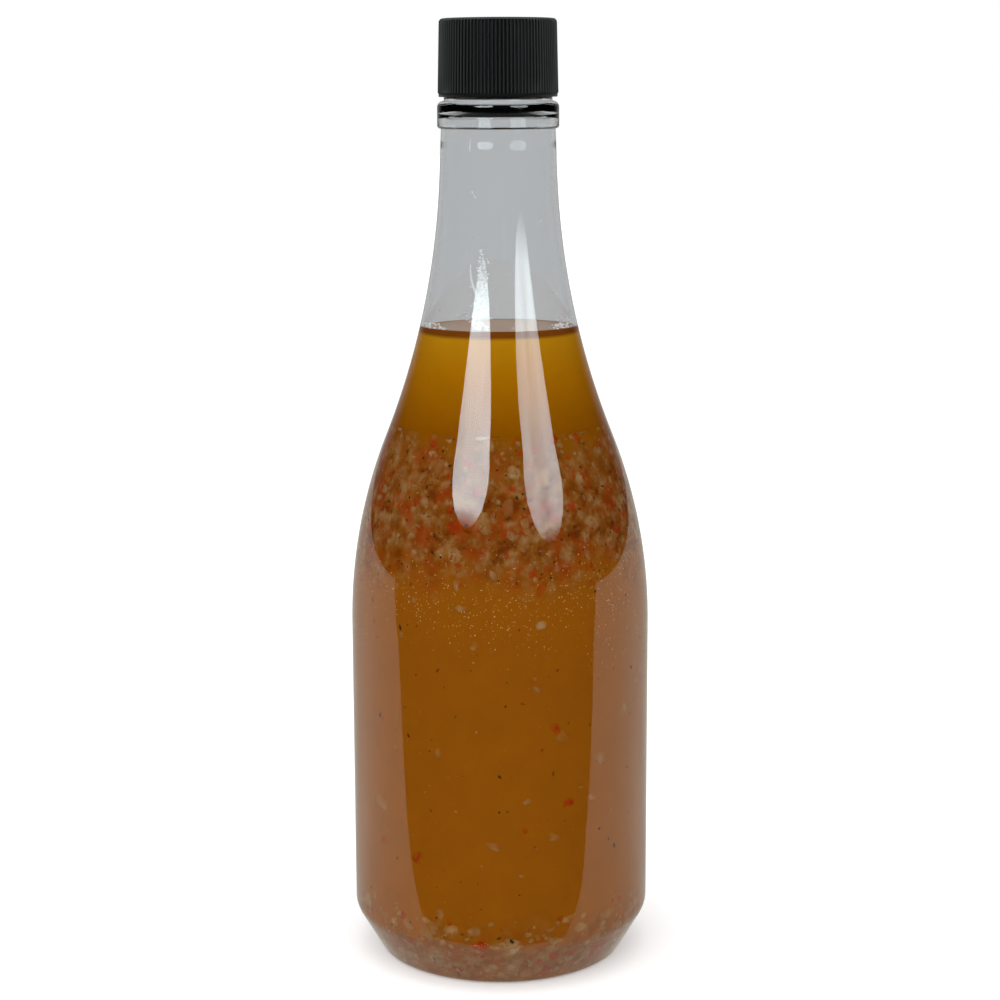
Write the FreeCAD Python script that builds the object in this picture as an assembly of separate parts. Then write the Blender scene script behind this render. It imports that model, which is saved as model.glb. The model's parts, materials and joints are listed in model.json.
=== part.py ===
import FreeCAD, Part
import math
import os

# Clear PET dressing bottle with a ribbed screw cap and its layered contents.
# Millimetres, +Z up. Origin: centre of the standing ring, on the table plane.

# ---- overall sizes -------------------------------------------------------
BODY_R = 36.5            # outer radius of the cylindrical body
NECK_R = 14.02           # outer radius of the neck where the shoulder's flare ends
TOTAL_H = 228.6          # table to the top of the cap

# ---- heights along the bottle --------------------------------------------
CAP_H = 18.2             # cap, lip to crown
CAP_GAP = 0.9            # open gap between the cap's lip and the neck bead
BEAD_H = 6.5             # clear round bead below the cap
NECK_STRAIGHT_H = 10.0   # nearly straight neck from the bead to the flare
FLARE_R = 189.0          # hollow curve from the neck into the shoulder
SHOULDER_R = 124.0       # round curve from the shoulder into the body
SLOPE_LEN = 3.4          # straight run between the two curves
SLOPE_LIMIT_DEG = 80.0   # the shoulder may lean no further than this, from vertical
NECK_TAPER_DEG = 2.2     # slope of the nearly straight neck, from vertical

# ---- walls ---------------------------------------------------------------
WALL = 0.7               # blown wall of the body, shoulder and neck
BEAD_PROUD = 0.86        # the bead stands this far out from the neck below it
FINISH_STEP = 0.74       # the moulded finish under the cap is this much narrower than the neck
FINISH_T = 2.3           # its wall, which leaves the bore
BEAD_TOP_ROUND = 1.5     # rounding of the bead's upper corner
BEAD_FOOT_ROUND = 0.7    # rounding of its lower corner
BLEND_START = 0.35       # part of the bead's height at which the wall thickens to the bore

# ---- base ----------------------------------------------------------------
CHAMFER_H = 11.6         # height of the sloped band above the table
CHAMFER_DEG = 30.0       # its slope, from vertical
CORNER_ROUND = 6.0       # blend between the body and the sloped band
HEEL_ROUND = 2.6         # blend between the sloped band and the standing ring
RING_W = 2.0             # flat width of the standing ring
PUSH_UP_H = 3.2          # height of the shallow dished underside
DISH_MID = (0.55, 0.72)  # a point of the dish, in parts of its radius and height
GATE_R = 2.0             # moulding nub in the centre of the underside
GATE_H = 0.9
BASE_WALL = 1.1          # the thicker floor of the blown bottle

# ---- cap -----------------------------------------------------------------
CAP_SKIRT_T = 1.3        # wall of the skirt at the lip, over the ribs
CAP_TAPER = 0.4          # the crown is this much smaller in radius than the lip
CAP_RIBS = 100
RIB_DEPTH = 0.32
RIB_SHAPE = ((-0.30, 0), (0.05, 0), (0.30, 1), (0.45, 1))  # corners: part of a pitch, depth
LIP_BAND_H = 1.0         # smooth band below the ribs
CROWN_ROUND = 0.9        # rounded rim of the crown
CAP_TOP_T = 1.5          # thickness of the crown
CAP_FIT = 0.15           # running clearance between cap and finish

# ---- contents, heights above the table -----------------------------------
SEDIMENT_TOP = 12.0
VINEGAR_TOP = 103.0
HERB_TOP = 132.8
OIL_TOP = 155.6


def revolve(face):
    """Solid of revolution about Z from a flat profile in the XZ plane."""
    return face.revolve(FreeCAD.Vector(0, 0, 0), FreeCAD.Vector(0, 0, 1), 360)


def pt(r, z):
    return FreeCAD.Vector(r, 0, z)


def line(a, b):
    return Part.LineSegment(pt(*a), pt(*b)).toShape()


def arc(a, mid, b):
    return Part.Arc(pt(*a), pt(*mid), pt(*b)).toShape()


def on_circle(centre, radius, deg):
    a = math.radians(deg)
    return (centre[0] + radius * math.cos(a), centre[1] + radius * math.sin(a))


def corner(before, at, after, radius):
    """Start, middle and end of the tangent arc that rounds a corner."""
    def unit(p):
        d = (p[0] - at[0], p[1] - at[1])
        n = math.hypot(*d)
        return (d[0] / n, d[1] / n)
    u, v = unit(before), unit(after)
    half = math.acos(max(-1.0, min(1.0, u[0] * v[0] + u[1] * v[1]))) / 2
    run = radius / math.tan(half)
    bis = (u[0] + v[0], u[1] + v[1])
    n = math.hypot(*bis)
    reach = radius / math.sin(half) - radius
    return ((at[0] + u[0] * run, at[1] + u[1] * run),
            (at[0] + bis[0] / n * reach, at[1] + bis[1] / n * reach),
            (at[0] + v[0] * run, at[1] + v[1] * run))


# heights and radii that follow from the driving sizes
CAP_Z = TOTAL_H - CAP_H
BEAD_TOP = CAP_Z - CAP_GAP
BEAD_Z = BEAD_TOP - BEAD_H
NECK_Z = BEAD_Z - NECK_STRAIGHT_H
MOUTH_Z = TOTAL_H - CAP_TOP_T
NECK_END_R = NECK_R - NECK_STRAIGHT_H * math.tan(math.radians(NECK_TAPER_DEG))
BEAD_R = NECK_END_R + BEAD_PROUD
FINISH_R = NECK_END_R - FINISH_STEP
BORE_R = FINISH_R - FINISH_T
CAP_R_LIP = FINISH_R + CAP_FIT + CAP_SKIRT_T
CAP_R_CROWN = CAP_R_LIP - CAP_TAPER


def steepest_slope():
    """Slope, in degrees from vertical, at which the shoulder spans body to neck."""
    taper = math.radians(NECK_TAPER_DEG)
    low, high = taper, math.radians(SLOPE_LIMIT_DEG)
    for _ in range(60):
        slope = (low + high) / 2
        span = (SHOULDER_R * (1 - math.cos(slope)) + SLOPE_LEN * math.sin(slope)
                + FLARE_R * (math.cos(taper) - math.cos(slope)))
        if span < BODY_R - NECK_R:
            low = slope
        else:
            high = slope
    return math.degrees(slope)


def shoulder(inset):
    """Joints and arc middles of the shoulder, offset inwards by inset."""
    slope_deg = steepest_slope()
    slope, taper = math.radians(slope_deg), math.radians(NECK_TAPER_DEG)
    flare, round_ = FLARE_R + inset, SHOULDER_R - inset
    # the chain of tangent curves hangs from the neck, so its foot follows
    drop = (SHOULDER_R * math.sin(slope) + SLOPE_LEN * math.cos(slope)
            + FLARE_R * (math.sin(slope) - math.sin(taper)))
    foot = (BODY_R - SHOULDER_R, NECK_Z - drop)
    a = on_circle(foot, round_, 0)
    am = on_circle(foot, round_, slope_deg / 2)
    b = on_circle(foot, round_, slope_deg)
    c = (b[0] - SLOPE_LEN * math.sin(slope), b[1] + SLOPE_LEN * math.cos(slope))
    hollow = on_circle(c, flare, slope_deg)
    mid_deg = 180 + (slope_deg + NECK_TAPER_DEG) / 2
    d = on_circle(hollow, flare, 180 + NECK_TAPER_DEG)
    return a, am, b, c, on_circle(hollow, flare, mid_deg), d


def wall_profile(inset, floor):
    """Edges from the dished floor's flat centre up to the top of the flare."""
    a, am, b, c, cm, d = shoulder(inset)
    lean = math.radians(CHAMFER_DEG)
    top_corner = (BODY_R - inset, CHAMFER_H + inset * math.tan(lean / 2))
    foot_r = BODY_R - inset - (top_corner[1] - floor) * math.tan(lean)
    heel = (foot_r, floor)
    ring_in = (foot_r - RING_W - HEEL_ROUND, floor)
    dish_top = floor + PUSH_UP_H
    dish_mid = (ring_in[0] * DISH_MID[0], floor + PUSH_UP_H * DISH_MID[1])
    p, pm, q = corner(ring_in, heel, top_corner, HEEL_ROUND - inset)
    s, sm, t = corner(heel, top_corner, a, CORNER_ROUND - inset)
    edges = [arc((GATE_R, dish_top), dish_mid, ring_in), line(ring_in, p), arc(p, pm, q),
             line(q, s), arc(s, sm, t), line(t, a), arc(a, am, b), line(b, c),
             arc(c, cm, d)]
    return edges, d


def outer_profile():
    """Outside of the bottle; its mouth is closed, and the moulding nub hangs in the dish."""
    edges, neck = wall_profile(0.0, 0.0)
    nub_low, nub_flat = (0, PUSH_UP_H - GATE_H), (GATE_R / 2, PUSH_UP_H - GATE_H)
    bead_in = (NECK_END_R, BEAD_Z)
    bead_lo, bead_hi = (BEAD_R, BEAD_Z), (BEAD_R, BEAD_TOP)
    gap_in = (FINISH_R, BEAD_TOP)
    lo = corner(bead_in, bead_lo, bead_hi, min(BEAD_FOOT_ROUND, 0.95 * (BEAD_R - bead_in[0])))
    hi = corner(bead_lo, bead_hi, gap_in, BEAD_TOP_ROUND)
    edges += [line(neck, bead_in), line(bead_in, lo[0]), arc(*lo),
              line(lo[2], hi[0]), arc(*hi), line(hi[2], gap_in),
              line(gap_in, (FINISH_R, MOUTH_Z)), line((FINISH_R, MOUTH_Z), (0, MOUTH_Z)),
              line((0, MOUTH_Z), nub_low), line(nub_low, nub_flat),
              line(nub_flat, (GATE_R, PUSH_UP_H))]
    return Part.Face(Part.Wire(edges))


def inner_profile():
    """The space inside the bottle, up to its mouth."""
    edges, neck = wall_profile(WALL, BASE_WALL)
    blend_z = BEAD_Z + BLEND_START * BEAD_H
    taper = math.tan(math.radians(NECK_TAPER_DEG))
    blend = (neck[0] - (blend_z - neck[1]) * taper, blend_z)
    floor_z = BASE_WALL + PUSH_UP_H
    edges += [line(neck, blend), line(blend, (BORE_R, BEAD_TOP)),
              line((BORE_R, BEAD_TOP), (BORE_R, MOUTH_Z)),
              line((BORE_R, MOUTH_Z), (0, MOUTH_Z)),
              line((0, MOUTH_Z), (0, floor_z)), line((0, floor_z), (GATE_R, floor_z))]
    return Part.Face(Part.Wire(edges))


def make_bottle():
    return revolve(outer_profile().cut(inner_profile()).Faces[0])


def make_layer(low, high):
    """The contents between two heights, as wide as the inside of the bottle."""
    band = Part.Face(Part.makePolygon([pt(0, low), pt(BODY_R, low), pt(BODY_R, high),
                                       pt(0, high), pt(0, low)]))
    return revolve(inner_profile().common(band).Faces[0])


def rib_wire(radius, z):
    """Closed ribbed outline: two crest corners and two root corners a rib."""
    pitch = 2 * math.pi / CAP_RIBS
    points = []
    for i in range(CAP_RIBS):
        for part, depth in RIB_SHAPE:
            a, r = (i + part) * pitch, radius - depth * RIB_DEPTH
            points.append(FreeCAD.Vector(r * math.cos(a), r * math.sin(a), z))
    return Part.makePolygon(points + points[:1])


def make_cap():
    rib_low = CAP_Z + LIP_BAND_H
    ribs = Part.makeLoft([rib_wire(CAP_R_LIP, rib_low), rib_wire(CAP_R_CROWN, TOTAL_H)], True, True)
    crown_lo, crown_hi = (CAP_R_CROWN, rib_low), (CAP_R_CROWN, TOTAL_H)
    rim = corner(crown_lo, crown_hi, (0, TOTAL_H), CROWN_ROUND)
    wide = (CAP_R_LIP + CROWN_ROUND, CAP_Z)
    trim = revolve(Part.Face(Part.Wire([
        line((0, CAP_Z), wide), line(wide, rim[0]),
        arc(*rim), line(rim[2], (0, TOTAL_H)), line((0, TOTAL_H), (0, CAP_Z))])))
    lip = Part.makeCylinder(CAP_R_LIP - RIB_DEPTH / 2, LIP_BAND_H + RIB_DEPTH,
                            FreeCAD.Vector(0, 0, CAP_Z))
    hollow = Part.makeCylinder(FINISH_R + CAP_FIT, CAP_H - CAP_TOP_T,
                               FreeCAD.Vector(0, 0, CAP_Z))
    return ribs.common(trim).fuse(lip).cut(hollow)


def main():
    os.makedirs("parts", exist_ok=True)
    nodes = {
        "bottle": make_bottle(),
        "cap": make_cap(),
        "sediment_layer": make_layer(0, SEDIMENT_TOP),
        "vinegar_layer": make_layer(SEDIMENT_TOP, VINEGAR_TOP),
        "herb_layer": make_layer(VINEGAR_TOP, HERB_TOP),
        "oil_layer": make_layer(HERB_TOP, OIL_TOP),
    }
    for name, shape in nodes.items():
        shape.exportStep(os.path.join("parts", name + ".step"))
        box = shape.optimalBoundingBox()
        print(name, len(shape.Solids), shape.isValid(), round(shape.Volume, 1),
              [round(v, 2) for v in (box.XMin, box.XMax, box.ZMin, box.ZMax)])


main()
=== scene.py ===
import json
import math

import bmesh
import bpy
import numpy as np
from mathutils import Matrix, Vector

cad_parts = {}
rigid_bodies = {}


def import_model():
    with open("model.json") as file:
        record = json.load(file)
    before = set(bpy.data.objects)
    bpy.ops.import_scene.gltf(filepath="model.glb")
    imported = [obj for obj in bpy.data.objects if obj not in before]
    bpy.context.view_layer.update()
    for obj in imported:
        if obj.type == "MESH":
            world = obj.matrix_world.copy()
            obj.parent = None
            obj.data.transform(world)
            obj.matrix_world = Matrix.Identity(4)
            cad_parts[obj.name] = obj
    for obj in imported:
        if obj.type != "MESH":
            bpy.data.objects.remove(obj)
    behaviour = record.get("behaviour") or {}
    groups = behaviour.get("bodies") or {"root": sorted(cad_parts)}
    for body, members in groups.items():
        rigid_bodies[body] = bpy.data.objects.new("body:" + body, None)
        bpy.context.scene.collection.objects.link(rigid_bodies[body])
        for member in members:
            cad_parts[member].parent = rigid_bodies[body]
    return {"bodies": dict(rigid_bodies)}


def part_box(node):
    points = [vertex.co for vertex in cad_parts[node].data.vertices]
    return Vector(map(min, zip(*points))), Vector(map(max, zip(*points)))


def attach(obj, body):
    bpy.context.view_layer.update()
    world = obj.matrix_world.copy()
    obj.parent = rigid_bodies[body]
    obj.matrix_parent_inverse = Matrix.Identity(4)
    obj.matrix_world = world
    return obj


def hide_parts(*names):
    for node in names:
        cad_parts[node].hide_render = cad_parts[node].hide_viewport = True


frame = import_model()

bl_info = {
    "name": "Dressing bottle",
    "version": (1, 0, 0),
    "blender": (4, 5, 0),
    "location": "View3D > Sidebar > Dressing bottle",
    "description": "A clear bottle of layered salad dressing with a ribbed screw cap",
    "category": "Object",
}

MM = 0.001
ROOT = next(iter(frame["bodies"]))
BOTTLE_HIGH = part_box("bottle")[1]
CAP_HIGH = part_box("cap")[1]
OIL_LOW, OIL_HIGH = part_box("oil_layer")
VINEGAR_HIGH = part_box("vinegar_layer")[1]
SEDIMENT_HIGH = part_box("sediment_layer")[1]
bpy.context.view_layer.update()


# ---------------------------------------------------------------- settings

class BottleSizes(bpy.types.PropertyGroup):
    body_radius: bpy.props.FloatProperty(
        name="Body radius", description="Outer radius of the straight body",
        default=BOTTLE_HIGH[0], unit="LENGTH")
    mouth_height: bpy.props.FloatProperty(
        name="Mouth height", description="Height of the bottle's open mouth",
        default=BOTTLE_HIGH[2], unit="LENGTH")
    wall: bpy.props.FloatProperty(
        name="Wall", description="Blown wall of body, shoulder and neck",
        default=0.7 * MM, unit="LENGTH")
    bead_radius: bpy.props.FloatProperty(
        name="Bead radius", description="Outer radius of the bead under the cap",
        default=14.496 * MM, unit="LENGTH")
    bead_height: bpy.props.FloatProperty(
        name="Bead height", description="Height of the bead", default=6.5 * MM, unit="LENGTH")
    finish_radius: bpy.props.FloatProperty(
        name="Finish radius", description="Radius of the moulded finish inside the cap",
        default=12.896 * MM, unit="LENGTH")
    bore_radius: bpy.props.FloatProperty(
        name="Bore radius", description="Radius of the mouth", default=10.596 * MM, unit="LENGTH")
    tint: bpy.props.StringProperty(
        name="PET tint", description="Light that one wall lets through, sRGB hex",
        default="EBEDEE")


class CapSizes(bpy.types.PropertyGroup):
    ribs: bpy.props.IntProperty(
        name="Ribs", description="Grip ribs around the cap", default=100)
    rib_depth: bpy.props.FloatProperty(
        name="Rib depth", description="Depth of the grooves between the ribs",
        default=0.5 * MM, unit="LENGTH")
    lip_height: bpy.props.FloatProperty(
        name="Lip height", description="Smooth band below the ribs",
        default=0.9 * MM, unit="LENGTH")
    colour: bpy.props.StringProperty(
        name="Cap colour", description="Black polypropylene, sRGB hex", default="3A3C3C")


class DressingSettings(bpy.types.PropertyGroup):
    oil_top: bpy.props.FloatProperty(
        name="Oil level", description="Height of the oil's surface",
        default=OIL_HIGH[2], unit="LENGTH")
    herb_top: bpy.props.FloatProperty(
        name="Top of the herbs", description="Where the amber oil begins",
        default=OIL_LOW[2], unit="LENGTH")
    vinegar_top: bpy.props.FloatProperty(
        name="Top of the vinegar", description="Where the floating herbs begin",
        default=VINEGAR_HIGH[2], unit="LENGTH")
    sediment_top: bpy.props.FloatProperty(
        name="Top of the sediment", description="Where the settled herbs end",
        default=SEDIMENT_HIGH[2], unit="LENGTH")
    oil_high: bpy.props.StringProperty(
        name="Oil, top", description="Amber oil just below its surface, sRGB hex",
        default="D09512")
    oil_mid: bpy.props.StringProperty(
        name="Oil, middle", description="Amber oil half way down, sRGB hex", default="BF7D02")
    oil_low: bpy.props.StringProperty(
        name="Oil, bottom", description="Amber oil above the herbs, sRGB hex", default="A05E00")
    dressing: bpy.props.StringProperty(
        name="Dressing", description="Cloudy vinegar dressing, sRGB hex", default="AD660F")
    raft: bpy.props.StringProperty(
        name="Herb oil", description="Oil thick with herbs, sRGB hex", default="9A5A1A")
    sediment: bpy.props.StringProperty(
        name="Sediment", description="Settled garlic and herbs, sRGB hex", default="AE6812")
    seed: bpy.props.IntProperty(
        name="Seed", description="Where the bits lie", default=7)


class StudioSettings(bpy.types.PropertyGroup):
    level: bpy.props.FloatProperty(
        name="Light level", description="Strength of the soft light all around",
        default=1.0)
    camera_distance: bpy.props.FloatProperty(
        name="Camera distance", description="From the bottle's axis to the camera",
        default=0.5419, unit="LENGTH")
    camera_height: bpy.props.FloatProperty(
        name="Camera height", description="Above the table", default=0.2143, unit="LENGTH")
    camera_tilt: bpy.props.FloatProperty(
        name="Camera tilt", description="Downward tilt of the camera",
        default=math.radians(10.573), subtype="ANGLE")
    lens: bpy.props.FloatProperty(
        name="Lens", description="Focal length in millimetres", default=81.0)


SETTINGS = {
    "bottle_sizes": BottleSizes,
    "cap_sizes": CapSizes,
    "dressing": DressingSettings,
    "studio": StudioSettings,
}


# ---------------------------------------------------------------- materials

# Settings that several nodes share.
SMOOTH = {"interpolation_type": "SMOOTHSTEP"}
COLOURS = {"data_type": "RGBA"}
TIMES = {"operation": "MULTIPLY"}
PLUS = {"operation": "ADD"}


def linear(hex_colour):
    """sRGB hex to linear RGBA."""
    parts = [int(hex_colour[i:i + 2], 16) / 255 for i in (0, 2, 4)]
    return [c / 12.92 if c <= 0.04045 else ((c + 0.055) / 1.055) ** 2.4 for c in parts] + [1.0]


def per_mm(size):
    """Texture scale, in cycles a metre, for a pattern of this size in millimetres."""
    return 1000.0 / size


def node(tree, kind, settings=None, **inputs):
    """Adds a shader node. A value goes to the input of that name, or to input 6 for i6. A
    socket given as a value is linked, and of a node its first output that is in use."""
    made = tree.nodes.new("ShaderNode" + kind)
    for key, value in (settings or {}).items():
        setattr(made, key, value)
    for key, value in inputs.items():
        name = key.replace("_", " ")
        if key[0] == "i" and key[1:].isdigit():
            socket = made.inputs[int(key[1:])]
        else:
            socket = next(s for s in made.inputs if s.name.lower() == name.lower())
        if isinstance(value, bpy.types.Node):
            value = next(s for s in value.outputs if s.enabled)
        if isinstance(value, bpy.types.NodeSocket):
            tree.links.new(value, socket)
        else:
            socket.default_value = value
    return made


def new_material(name):
    """An empty node material and its tree."""
    mat = bpy.data.materials.new(name)
    mat.use_nodes = True
    mat.node_tree.nodes.clear()
    return mat, mat.node_tree


def pet_material(name, wetted):
    """Blown PET, glossy and almost clear; a slow ripple of the blown wall bends its reflections.
    Where liquid wets the wall there is hardly any step in density, so that side doesn't mirror."""
    mat, tree = new_material(name)
    where = node(tree, "TexCoord").outputs["Object"]
    ripple = node(tree, "TexNoise", Vector=where, Scale=per_mm(16), Detail=1.0)
    bump = node(tree, "Bump", Strength=0.25, Distance=0.12 * MM, Height=ripple)
    shader = node(tree, "BsdfPrincipled",
                  Base_Color=linear(bpy.context.scene.bottle_sizes.tint), Roughness=0.0,
                  IOR=1.575, Transmission_Weight=1.0, Specular_IOR_Level=0.0 if wetted else 0.5,
                  Normal=bump)
    node(tree, "OutputMaterial", Surface=shader)
    return mat


def oil_tone(tree, height):
    """Amber of the herb oil, a matt stand-in for the light seen through it: painted lighter near
    its surface and darker down towards the herbs, where the light passes through more oil, and
    painted dark brown as shade in the thin raised edge at the wall."""
    s = bpy.context.scene.dressing
    share = node(tree, "MapRange", Value=height, From_Min=s.herb_top, From_Max=s.oil_top + 2 * MM)
    ramp = node(tree, "ValToRGB", Fac=share)
    stops = ramp.color_ramp.elements
    stops[0].position, stops[0].color = 0.0, linear(s.oil_low)
    # painted shade: dark brown in the thin raised edge of the oil at the wall
    stops[1].position, stops[1].color = 0.902, linear("8A4A10")
    for place, tone in ((0.5, s.oil_mid), (0.868, s.oil_high)):
        stops.new(place).color = linear(tone)
    return ramp


def oil_material(name, wetted):
    """Herb-infused oil, amber and a little turbid, so it scatters light and hides its far side.
    Against the wall it has no gloss of its own. Its open surface has only a faint gloss, and its
    pale colour is partly the oil's own and partly a painted reflection of what is behind."""
    mat, tree = new_material(name)
    where = node(tree, "TexCoord").outputs["Object"]
    height = node(tree, "SeparateXYZ", Vector=where).outputs["Z"]
    if wetted:
        shader = node(tree, "BsdfPrincipled", Base_Color=oil_tone(tree, height), Roughness=0.5,
                      IOR=1.47, Specular_IOR_Level=0.0)
    else:
        # painted reflection: the open surface's pale brown stands partly for what it mirrors behind
        shader = node(tree, "BsdfPrincipled", Base_Color=linear("C4864C"), Roughness=0.03,
                      IOR=1.47, Specular_IOR_Level=0.05)
    node(tree, "OutputMaterial", Surface=shader)
    return mat


def film_material():
    """Broken oil film and foam on the inner wall: thin and half see-through. Its pale white is
    partly the foam's own colour and partly painted reflection of the softboxes, and its very weak
    glow is painted lamplight that such foam scatters."""
    mat, tree = new_material("oil_film_painted_sheen")
    # painted reflection: pale white with a weak glow
    shader = node(tree, "BsdfPrincipled", Base_Color=linear("FFFFFF"), Roughness=0.3, IOR=1.47,
                  Specular_IOR_Level=0.5, Alpha=0.6, Emission_Color=linear("FFFFFF"),
                  Emission_Strength=0.1)
    node(tree, "OutputMaterial", Surface=shader)
    return mat


def cap_material():
    """Injection-moulded black polypropylene, semi-gloss with a faint grain; the grooves
    between the ribs stay darker, as hardly any light gets into them."""
    mat, tree = new_material("black_polypropylene_moulded")
    where = node(tree, "TexCoord").outputs["Object"]
    grain = node(tree, "TexNoise", Vector=where, Scale=per_mm(0.35), Detail=2.0)
    patchy = node(tree, "TexNoise", Vector=where, Scale=per_mm(5), Detail=2.0)
    rough = node(tree, "MapRange", Value=patchy, To_Min=0.3, To_Max=0.38)
    bump = node(tree, "Bump", Strength=0.08, Distance=0.01 * MM, Height=grain)
    # painted shade in the grooves between the ribs, which turn near black; the smooth lip and crown
    # are darkened by a share as well
    groove_painted_shade = node(tree, "Attribute", {"attribute_name": "groove_painted_shade"})
    colour = node(tree, "Mix", COLOURS, Factor=groove_painted_shade.outputs["Fac"],
                  i6=linear(bpy.context.scene.cap_sizes.colour), i7=linear("020202"))
    shader = node(tree, "BsdfPrincipled", Base_Color=colour, Roughness=rough, IOR=1.5,
                  Specular_IOR_Level=0.15, Normal=bump)
    node(tree, "OutputMaterial", Surface=shader)
    return mat


def dressing_colour(tree):
    """The dressing's colour by height and place: ruddy herb oil above, brown cloudy vinegar,
    and paler settled herbs below, with soft blotches of what hangs behind the surface."""
    s = bpy.context.scene.dressing
    where = node(tree, "TexCoord").outputs["Object"]
    height = node(tree, "SeparateXYZ", Vector=where).outputs["Z"]
    sway = node(tree, "TexNoise", Vector=where, Scale=per_mm(9), Detail=3.0)
    drift = node(tree, "MapRange", Value=sway, From_Min=0.3, From_Max=0.7, To_Min=-4 * MM,
                 To_Max=4 * MM)
    level = node(tree, "Math", PLUS, i0=height, i1=drift)
    up = node(tree, "MapRange", SMOOTH, Value=level, From_Min=s.vinegar_top - 9 * MM,
              From_Max=s.vinegar_top + 5 * MM)
    down = node(tree, "MapRange", SMOOTH, Value=level, From_Min=s.sediment_top + 8 * MM,
                From_Max=s.sediment_top - 4 * MM)
    blotch = node(tree, "TexNoise", Vector=where, Scale=per_mm(3.2), Detail=3.0, Roughness=0.55)
    patches = node(tree, "ValToRGB", Fac=blotch)
    stops = patches.color_ramp.elements
    stops[0].position, stops[0].color = 0.34, linear("7E3A06")
    stops[1].position, stops[1].color = 0.67, linear("B2824E")
    stops.new(0.5).color = linear(s.raft)
    ruddy = node(tree, "TexNoise", Vector=where, Scale=per_mm(5.0), Detail=2.0)
    stain = node(tree, "MapRange", Value=ruddy, From_Min=0.48, From_Max=0.62, To_Max=0.75)
    stained = node(tree, "Mix", COLOURS, Factor=stain, i6=patches, i7=linear("A8480E"))
    olive = node(tree, "MapRange", SMOOTH, Value=level, From_Min=s.herb_top - 16 * MM,
                 From_Max=s.herb_top - 2 * MM, To_Max=0.5)
    raft = node(tree, "Mix", COLOURS, Factor=olive, i6=stained, i7=linear("9C6018"))
    browns = node(tree, "MapRange", Value=sway, From_Min=0.35, From_Max=0.65)
    vinegar = node(tree, "Mix", COLOURS, Factor=browns, i6=linear(s.dressing),
                   i7=linear("B1680F"))
    above = node(tree, "Mix", COLOURS, Factor=up, i6=vinegar, i7=raft)
    bed = node(tree, "Mix", COLOURS, Factor=0.4, i6=stained, i7=linear(s.sediment))
    settled = node(tree, "Mix", COLOURS, Factor=down, i6=above, i7=bed)
    rise = node(tree, "MapRange", SMOOTH, Value=level, From_Min=s.herb_top - 4.5 * MM,
                From_Max=s.herb_top + 0.5 * MM)
    floating = node(tree, "Mix", COLOURS, Factor=rise, i6=settled, i7=oil_tone(tree, height))
    return floating


def dressing_material(name):
    """Cloudy dressing behind the wall: matt in itself, because it has no surface of its own."""
    mat, tree = new_material(name)
    shader = node(tree, "BsdfPrincipled", Base_Color=dressing_colour(tree), Roughness=0.6,
                  Specular_IOR_Level=0.0)
    node(tree, "OutputMaterial", Surface=shader)
    return mat


def bit_material(name, dark, light, size_mm):
    """A chopped ingredient: two tones over its grain, fading into the dressing with its depth."""
    mat, tree = new_material(name)
    where = node(tree, "TexCoord").outputs["Object"]
    tone = node(tree, "TexNoise", Vector=where, Scale=per_mm(size_mm), Detail=2.0)
    spread = node(tree, "MapRange", Value=tone, From_Min=0.35, From_Max=0.65)
    own = node(tree, "Mix", COLOURS, Factor=spread, i6=linear(dark), i7=linear(light))
    haze = node(tree, "Attribute", {"attribute_name": "haze"})
    seen = node(tree, "Mix", COLOURS, Factor=haze.outputs["Fac"], i6=own,
                i7=dressing_colour(tree))
    shader = node(tree, "BsdfPrincipled", Base_Color=seen, Roughness=0.5,
                  Specular_IOR_Level=0.0)
    node(tree, "OutputMaterial", Surface=shader)
    return mat


# ---------------------------------------------------------------- shapes

def arc_points(centre, radius, start, end, count):
    """Points of an arc from one angle to another, in degrees."""
    angles = np.radians(np.linspace(start, end, count))
    return [(centre[0] + radius * math.cos(a), centre[1] + radius * math.sin(a)) for a in angles]


def rounded(before, at, after, radius, count=8):
    """Points of the tangent arc that rounds a corner of a profile."""
    at, u, v = (np.array(p, float) for p in (at, before, after))
    u, v = (u - at) / np.linalg.norm(u - at), (v - at) / np.linalg.norm(v - at)
    half = math.acos(float(np.clip(u @ v, -1, 1))) / 2
    bisector = (u + v) / np.linalg.norm(u + v)
    centre = at + bisector * radius / math.sin(half)
    start, end = at + u * radius / math.tan(half), at + v * radius / math.tan(half)
    a = math.atan2(*(start - centre)[::-1])
    b = math.atan2(*(end - centre)[::-1])
    turn = (b - a + math.pi) % (2 * math.pi) - math.pi
    return [tuple(centre + radius * np.array([math.cos(a + turn * t), math.sin(a + turn * t)]))
            for t in np.linspace(0, 1, count)]


def through(a, mid, b, count):
    """Points of the circular arc through three points."""
    (x1, y1), (x2, y2), (x3, y3) = a, mid, b
    d = 2 * (x1 * (y2 - y3) + x2 * (y3 - y1) + x3 * (y1 - y2))
    s1, s2, s3 = x1 * x1 + y1 * y1, x2 * x2 + y2 * y2, x3 * x3 + y3 * y3
    cx = (s1 * (y2 - y3) + s2 * (y3 - y1) + s3 * (y1 - y2)) / d
    cy = (s1 * (x3 - x2) + s2 * (x1 - x3) + s3 * (x2 - x1)) / d
    start, end = math.atan2(y1 - cy, x1 - cx), math.atan2(y3 - cy, x3 - cx)
    return arc_points((cx, cy), math.hypot(x1 - cx, y1 - cy), math.degrees(start),
                      math.degrees(end), count)


# Where the cap and the bead stand.
CAP_TALL, CAP_GAP = 18.2 * MM, 0.9 * MM
BEAD_TOP = CAP_HIGH[2] - CAP_TALL - CAP_GAP
# Shoulder and flare: two large arcs with a short slope between them, then a conical neck.
SLOPE, TAPER = 21.3, 2.2
SHOULDER_R, FLARE_R, SLOPE_RUN, NECK_STRAIGHT = 124 * MM, 189 * MM, 3.4 * MM, 10 * MM
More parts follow.
